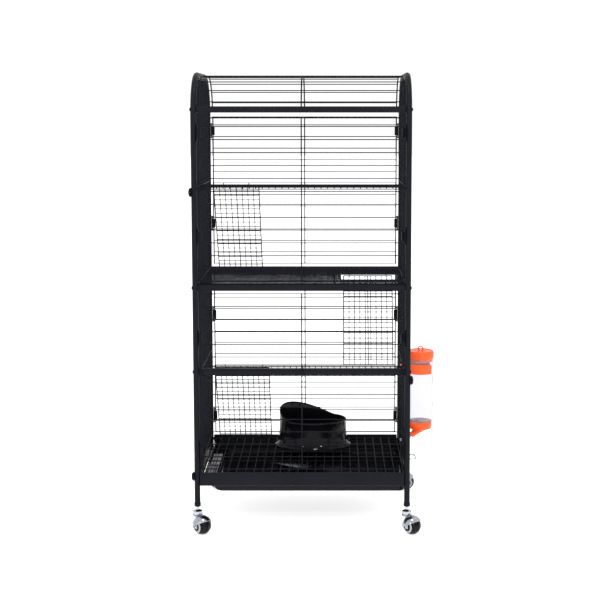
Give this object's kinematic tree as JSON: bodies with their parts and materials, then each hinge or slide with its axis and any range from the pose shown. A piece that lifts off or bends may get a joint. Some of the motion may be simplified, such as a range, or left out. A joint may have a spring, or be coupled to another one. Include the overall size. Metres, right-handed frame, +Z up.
{
  "type": "ferret cage",
  "caption": "Tall black wire ferret cage on casters with two doors, mesh shelves, ramps, slide-out tray, food dish and side water bottle.",
  "frame": {"origin": "on the floor, under the middle of the whole footprint with tray handle and bottle", "axes": "+Z up, +X to the right and +Y away from someone who faces the doors"},
  "size_m": [0.6862, 0.499, 1.2779],
  "materials": {
    "frame_paint": "semi-gloss black powder coat",
    "wire": "semi-gloss black coated wire",
    "black_plastic": "satin black",
    "gloss_black": "high gloss black",
    "bright_steel": "bright zinc or chrome plate",
    "orange_plastic": "glossy orange",
    "clear_plastic": "clear, faint lavender"
  },
  "bodies": {
    "frame": {"side_frame_left": "frame_paint", "side_frame_right": "frame_paint", "side_wall_left": "wire", "side_wall_right": "wire", "top_rail_front": "frame_paint", "top_rail_rear": "frame_paint", "middle_rail_front": "frame_paint", "middle_rail_rear": "frame_paint", "lower_shelf_rail": "frame_paint", "roof_panel": "wire", "back_panel_upper": "wire", "back_panel_lower": "wire", "upper_shelf": "wire", "middle_floor": "wire", "lower_shelf": "wire", "base_apron_front": "frame_paint", "base_apron_rear": "frame_paint", "base_apron_left": "frame_paint", "floor_grate": "wire", "hinge_clip_top": "black_plastic", "hinge_clip_upper": "black_plastic", "hinge_clip_lower": "black_plastic", "hinge_clip_bottom": "black_plastic", "catch_clip_top": "black_plastic", "catch_clip_upper": "black_plastic", "catch_clip_lower": "black_plastic", "catch_clip_bottom": "black_plastic", "rear_clip_left_top": "black_plastic", "rear_clip_left_upper": "black_plastic", "rear_clip_left_lower": "black_plastic", "rear_clip_left_bottom": "black_plastic", "rear_clip_right_top": "black_plastic", "rear_clip_right_upper": "black_plastic", "rear_clip_right_lower": "black_plastic", "rear_clip_right_bottom": "black_plastic", "bolt_cap_left_upper": "black_plastic", "bolt_cap_right_lower": "black_plastic", "bolt_cap_left_base": "black_plastic"},
    "upper_door": {"front_door_upper": "wire"},
    "lower_door": {"front_door_lower": "wire"},
    "upper_ramp": {"ramp_upper": "wire"},
    "middle_ramp": {"ramp_middle": "wire"},
    "lower_ramp": {"ramp_lower": "wire"},
    "tray_drawer": {"tray": "gloss_black", "tray_handle": "bright_steel"},
    "dish": {"food_dish": "gloss_black"},
    "bottle": {"bottle_body": "clear_plastic", "bottle_clip": "orange_plastic", "bottle_base": "orange_plastic", "bottle_nozzle": "bright_steel"},
    "lid": {"bottle_lid": "orange_plastic"},
    "caster_front_left": {"caster_hood_front_left": "bright_steel"},
    "wheel_front_left": {"caster_wheel_front_left": "gloss_black"},
    "caster_front_right": {"caster_hood_front_right": "bright_steel"},
    "wheel_front_right": {"caster_wheel_front_right": "gloss_black"},
    "caster_rear_left": {"caster_hood_rear_left": "bright_steel"},
    "wheel_rear_left": {"caster_wheel_rear_left": "gloss_black"},
    "caster_rear_right": {"caster_hood_rear_right": "bright_steel"},
    "wheel_rear_right": {"caster_wheel_rear_right": "gloss_black"}
  },
  "joints": [
    {"name": "upper_door_hinge", "type": "hinge", "parent": "frame", "child": "upper_door", "pos_m": [-0.31335, -0.21, 0.93062], "axis": [0, 0, -1], "range_deg": [0, 100]},
    {"name": "lower_door_hinge", "type": "hinge", "parent": "frame", "child": "lower_door", "pos_m": [-0.31335, -0.21, 0.42762], "axis": [0, 0, -1], "range_deg": [0, 100]},
    {"name": "upper_ramp_hinge", "type": "hinge", "parent": "frame", "child": "upper_ramp", "pos_m": [-0.22335, -0.072, 0.96442], "axis": [1, 0, 0], "range_deg": [0, 25]},
    {"name": "middle_ramp_hinge", "type": "hinge", "parent": "frame", "child": "middle_ramp", "pos_m": [0.15115, 0.02, 0.69922], "axis": [-1, 0, 0], "range_deg": [0, 22]},
    {"name": "lower_ramp_hinge", "type": "hinge", "parent": "frame", "child": "lower_ramp", "pos_m": [-0.21035, -0.072, 0.44512], "axis": [1, 0, 0], "range_deg": [0, 25]},
    {"name": "tray_slide", "type": "slide", "parent": "frame", "child": "tray_drawer", "axis": [1, 0, 0], "range_m": [0, 0.4]},
    {"name": "dish_lift", "type": "slide", "parent": "frame", "child": "dish", "axis": [0, 0, 1], "range_m": [0, 0.1]},
    {"name": "bottle_pull_off", "type": "slide", "parent": "frame", "child": "bottle", "axis": [1, 0, 0], "range_m": [0, 0.12]},
    {"name": "bottle_lid_lift", "type": "slide", "parent": "bottle", "child": "lid", "axis": [0, 0, 1], "range_m": [0, 0.06]},
    {"name": "caster_swivel_front_left", "type": "hinge", "parent": "frame", "child": "caster_front_left", "pos_m": [-0.32785, -0.205, 0.05992], "axis": [0, 0, 1], "continuous": true},
    {"name": "caster_roll_front_left", "type": "hinge", "parent": "caster_front_left", "child": "wheel_front_left", "pos_m": [-0.31371, -0.22185, 0.02492], "axis": [0.766, 0.6428, 0], "continuous": true},
    {"name": "caster_swivel_front_right", "type": "hinge", "parent": "frame", "child": "caster_front_right", "pos_m": [0.25615, -0.205, 0.05992], "axis": [0, 0, 1], "continuous": true},
    {"name": "caster_roll_front_right", "type": "hinge", "parent": "caster_front_right", "child": "wheel_front_right", "pos_m": [0.27029, -0.22185, 0.02492], "axis": [0.766, 0.6428, 0], "continuous": true},
    {"name": "caster_swivel_rear_left", "type": "hinge", "parent": "frame", "child": "caster_rear_left", "pos_m": [-0.32785, 0.205, 0.05992], "axis": [0, 0, 1], "continuous": true},
    {"name": "caster_roll_rear_left", "type": "hinge", "parent": "caster_rear_left", "child": "wheel_rear_left", "pos_m": [-0.31371, 0.22185, 0.02492], "axis": [-0.766, 0.6428, 0], "continuous": true},
    {"name": "caster_swivel_rear_right", "type": "hinge", "parent": "frame", "child": "caster_rear_right", "pos_m": [0.25615, 0.205, 0.05992], "axis": [0, 0, 1], "continuous": true},
    {"name": "caster_roll_rear_right", "type": "hinge", "parent": "caster_rear_right", "child": "wheel_rear_right", "pos_m": [0.27815, 0.205, 0.02492], "axis": [0, 1, 0], "continuous": true}
  ]
}
